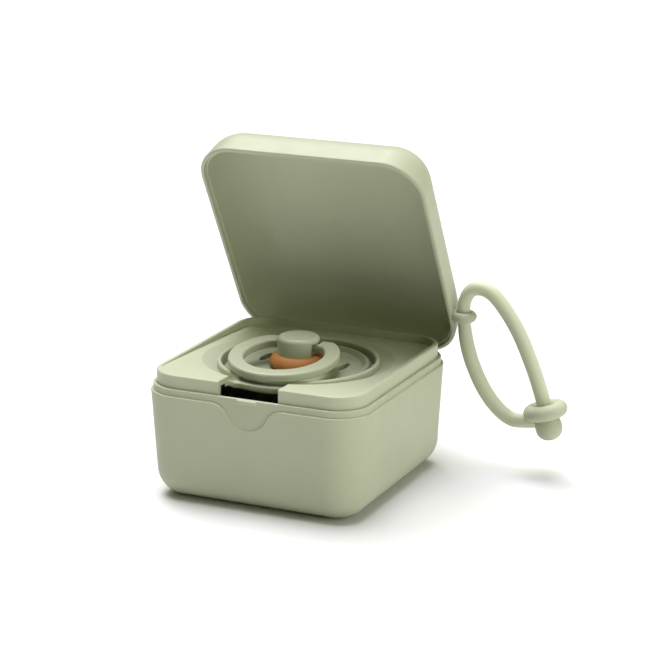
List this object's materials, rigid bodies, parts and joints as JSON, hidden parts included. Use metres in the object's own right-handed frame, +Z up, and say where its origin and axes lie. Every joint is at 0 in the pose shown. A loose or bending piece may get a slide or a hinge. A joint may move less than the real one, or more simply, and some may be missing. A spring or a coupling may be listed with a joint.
{
  "type": "pacifier case",
  "caption": "Rounded box with a hinged lid, a lift-out tray whose collar holds a pacifier nipple-down, and a round carrying strap through an ear on the lid.",
  "frame": {"origin": "centre of the flat resting face under the base tub", "axes": "+Z up, +Y to the hinge at the back, +X to the right of someone facing the catch, where the strap hangs"},
  "size_m": [0.12, 0.0928, 0.1113],
  "materials": {
    "case_plastic": "fine satin",
    "tray_plastic": "fine satin",
    "pin_plastic": "satin",
    "soother_plastic": "satin gloss",
    "latex": "smooth translucent",
    "strap_silicone": "matte"
  },
  "bodies": {
    "case_base": {"base_tub": "case_plastic", "inner_tray": "tray_plastic", "hinge_pin": "pin_plastic"},
    "lid": {"lid_shell": "case_plastic"},
    "pacifier": {"pacifier_shield": "soother_plastic", "pacifier_nipple": "latex", "pacifier_knob": "soother_plastic"},
    "ring": {"pacifier_ring": "soother_plastic"},
    "strap": {"strap_cord": "strap_silicone", "strap_eyelet": "strap_silicone", "strap_ball": "strap_silicone"}
  },
  "joints": [
    {"name": "lid_hinge", "type": "hinge", "parent": "case_base", "child": "lid", "pos_m": [0, 0.04254, 0.03415], "axis": [-1, 0, 0], "range_deg": [-61.3, 45]},
    {"name": "pacifier_turn", "type": "hinge", "parent": "case_base", "child": "pacifier", "pos_m": [0, -0.00095, 0.0377], "axis": [0, 0, 1], "continuous": true},
    {"name": "ring_swing", "type": "hinge", "parent": "pacifier", "child": "ring", "pos_m": [0, -0.00095, 0.04569], "axis": [-1, 0, 0], "range_deg": [0, 11]},
    {"name": "strap_swing", "type": "hinge", "parent": "lid", "child": "strap", "pos_m": [0.0431, 0.0368, 0.0509], "axis": [1, 0, 0], "range_deg": [-15, 15]}
  ]
}
